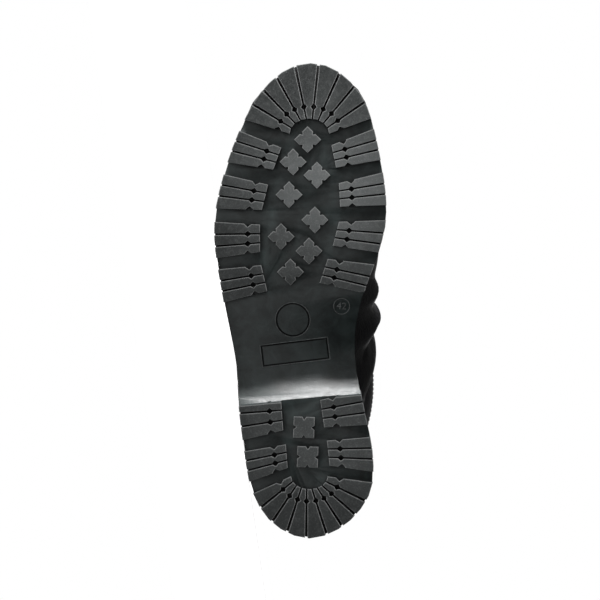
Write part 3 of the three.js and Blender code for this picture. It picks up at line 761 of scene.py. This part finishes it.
def from_side(tree, side, points):
    """Places on a surface as seen level from one side."""
    places = [cast(tree, (side * BESIDE, y, z), (-side, 0.0, 0.0)) for y, z in points]
    return [place for place in places if place]


def inset_line(points, gap):
    """A line of points moved down and back by a gap, and cut into short steps."""
    moved = []
    for i, (y, z) in enumerate(points):
        before = points[max(i - 1, 0)]
        after = points[min(i + 1, len(points) - 1)]
        dy, dz = after[0] - before[0], after[1] - before[1]
        length = math.hypot(dy, dz)
        moved.append((y - dz / length * gap, z + dy / length * gap))
    fine = []
    for (ay, az), (by, bz) in zip(moved, moved[1:]):
        shares = [part / EDGE_PARTS for part in range(EDGE_PARTS)]
        fine += [(ay + (by - ay) * share, az + (bz - az) * share) for share in shares]
    return fine + [moved[-1]]


def stitch_row(bm, places):
    """Short threads along a line of places on a surface."""
    step = STITCH["step"] * MM
    walked = 0.0
    due = 0.5 * step
    for (a, na), (b, nb) in zip(places, places[1:]):
        length = (b - a).length
        while length > 0.0 and due <= walked + length:
            t = (due - walked) / length
            add_stitch(bm, a.lerp(b, t), (b - a).normalized(), na.lerp(nb, t).normalized())
            due += step
        walked += length


def add_stitch(bm, centre, along, normal):
    across = along.cross(normal).normalized()
    sunk = normal * (STITCH["sunk"] * MM)
    rows = []
    for share, full in STITCH_RINGS:
        middle = centre + along * (share * STITCH["long"] * MM)
        side = across * (0.5 * STITCH["wide"] * full * MM)
        rise = normal * (STITCH["high"] * full * MM)
        top = side * STITCH_TOP
        corners = (side - sunk, top + rise, rise - top, -side - sunk)
        rows.append([bm.verts.new(middle + offset) for offset in corners])
    for first, second in zip(rows, rows[1:]):
        for k in range(4):
            bm.faces.new((first[k], first[(k + 1) % 4], second[(k + 1) % 4], second[k]))
    bm.faces.new(rows[0][::-1])
    bm.faces.new(rows[-1])


def build_stitches():
    """Rows along the collar band, the back strip and the heel counter."""
    bm = bmesh.new()
    band = surface_tree(BAND)
    for height in (BAND_LOW + EDGE_GAP, BAND_HIGH - EDGE_GAP - BAND_ROLL):
        stitch_row(bm, round_axis(band, SHAFT_AXIS, height, 0.0, 360.0, BAND_STEPS))
    strip = surface_tree(STRIP)
    for side in (-1, 1):
        x = side * (STRIP_HALF - EDGE_GAP)
        low = STRIP_LOW + STRIP_GAP
        high = STRIP_HIGH - STRIP_GAP
        heights = [low + (high - low) * i / STRIP_STEPS for i in range(STRIP_STEPS + 1)]
        places = [cast(strip, (x, BEHIND, z), (0.0, 1.0, 0.0)) for z in heights]
        stitch_row(bm, [place for place in places if place])
    counter = surface_tree(COUNTER)
    for gap in (EDGE_GAP, EDGE_GAP + ROW_GAP):
        line = inset_line(COUNTER_EDGE, gap)
        outer = from_side(counter, 1, line)
        inner = from_side(counter, -1, line)
        back = round_axis(counter, HEEL_AXIS, line[-1][1], *HEEL_ARC, HEEL_STEPS)
        stitch_row(bm, outer + back + inner[::-1])
    bmesh.ops.recalc_face_normals(bm, faces=bm.faces)
    piece = finish_mesh(bm, "stitches", THREAD)
    shade(piece, THREAD_EDGE)


OUTSOLE = build_outsole()
UPPER = soft_form("upper_leather", "upper", LEATHER, 2, UPPER_CUT)
add_creases(UPPER)
COUNTER = soft_form("heel_counter_leather", "heel_counter", TRIM, 1, TRIM_CUT)
STRIP = soft_form("back_strip_leather", "back_strip", TRIM, 2, TRIM_CUT)
BAND = soft_form("collar_band_leather", "collar_band", TRIM, 2, TRIM_CUT)
soft_form("insole_sheet", "insole", CLOTH, 1, TRIM_CUT)
build_marks()
build_stitches()


# Camera, floor and light

# The camera's distance, its height over the floor and the width that it sees, in metres
VIEW_DISTANCE = 1.5
VIEW_HEIGHT = 0.004
VIEW_WIDTH = 0.38

# What it looks at and the width of its sensor, in millimetres
VIEW_TARGET = (6.0, 0.5 * SOLE_LENGTH, 10.0)
SENSOR = 36.0

# Strength of the room's light and of the floor's glow under the boot, and in metres how far off
# the glow is full and half the floor's width
ROOM_LIGHT = 0.08
FLOOR_GLOW = 0.8
FLOOR_FAR = 1.1
FLOOR_HALF = 12.0
WHITE = (1.0, 1.0, 1.0)


def area_light(name, place, target, size, power):
    """A lamp turned to a target; size is its width and height in metres, power in watts."""
    data = bpy.data.lights.new(name, "AREA")
    data.shape = "RECTANGLE"
    data.size, data.size_y = size
    data.energy = power
    light = add_object(name, data)
    light.location = place
    light.rotation_euler = (target - place).to_track_quat("-Z", "Y").to_euler()


def build_camera():
    """The camera low over the floor, looking at the tread with the toe up."""
    target = world(*VIEW_TARGET)
    place = target - UP * VIEW_DISTANCE
    place.z = VIEW_HEIGHT
    back = (place - target).normalized()
    up = (TOE - back * TOE.dot(back)).normalized()
    right = up.cross(back)
    data = bpy.data.cameras.new("camera")
    data.sensor_width = SENSOR
    data.lens = SENSOR * VIEW_DISTANCE / VIEW_WIDTH
    camera = add_object("camera", data)
    camera.matrix_world = Matrix.Translation(place) @ Matrix((right, up, back)).transposed().to_4x4()
    bpy.context.scene.camera = camera


def build_floor():
    """A white floor that glows weakly under the boot and fully further off."""
    bm = bmesh.new()
    bmesh.ops.create_grid(bm, x_segments=8, y_segments=8, size=FLOOR_HALF)
    mesh = bpy.data.meshes.new("floor")
    bm.to_mesh(mesh)
    bm.free()
    floor = add_object("floor", mesh)
    g = Graph("floor_paint")
    g.set("Base Color", (0.9, 0.9, 0.9))
    g.set("Roughness", 0.9)
    g.set("Specular IOR Level", 0.0)
    g.set("Emission Color", WHITE)
    distance = g.add("ShaderNodeVectorMath", operation="LENGTH")
    g.link(g.place, distance.inputs[0])
    far = g.math("DIVIDE", distance.outputs["Value"], FLOOR_FAR)
    g.set("Emission Strength", g.grey(far, [(0.3, FLOOR_GLOW), (1.0, 1.0)]))
    mesh.materials.append(g.material)


def build_room():
    """A white backdrop for the camera, and weak light from all round."""
    sky = bpy.data.worlds.new("studio")
    sky.use_nodes = True
    tree = sky.node_tree
    room = tree.nodes["Background"]
    room.inputs["Color"].default_value = (*WHITE, 1.0)
    room.inputs["Strength"].default_value = ROOM_LIGHT
    backdrop = tree.nodes.new("ShaderNodeBackground")
    backdrop.inputs["Color"].default_value = (*WHITE, 1.0)
    seen = tree.nodes.new("ShaderNodeLightPath")
    pick = tree.nodes.new("ShaderNodeMixShader")
    tree.links.new(seen.outputs["Is Camera Ray"], pick.inputs["Fac"])
    tree.links.new(room.outputs["Background"], pick.inputs[1])
    tree.links.new(backdrop.outputs["Background"], pick.inputs[2])
    tree.links.new(pick.outputs["Shader"], tree.nodes["World Output"].inputs["Surface"])
    bpy.context.scene.world = sky
    bpy.context.scene.view_settings.view_transform = "Standard"


def build_lights():
    """Two lamps low off the toe, one in front and one behind."""
    middle = world(0.0, 0.5 * SOLE_LENGTH, 0.0)
    area_light("toe_light", middle + Vector((-1.3, -0.75, 0.15)), middle, (0.5, 1.3), 3.5)
    area_light("low_toe_light", middle + Vector((-2.35, -0.38, 0.1)), middle, (0.3, 1.3), 300.0)
    area_light("front_light", Vector((-0.7, -1.9, 1.2)), middle, (0.8, 0.8), 4.0)
    area_light("back_light", Vector((0.2, 1.9, 0.55)), Vector((0.0, 0.0, 0.05)), (1.4, 0.3), 0.7)


build_camera()
build_floor()
build_room()
build_lights()
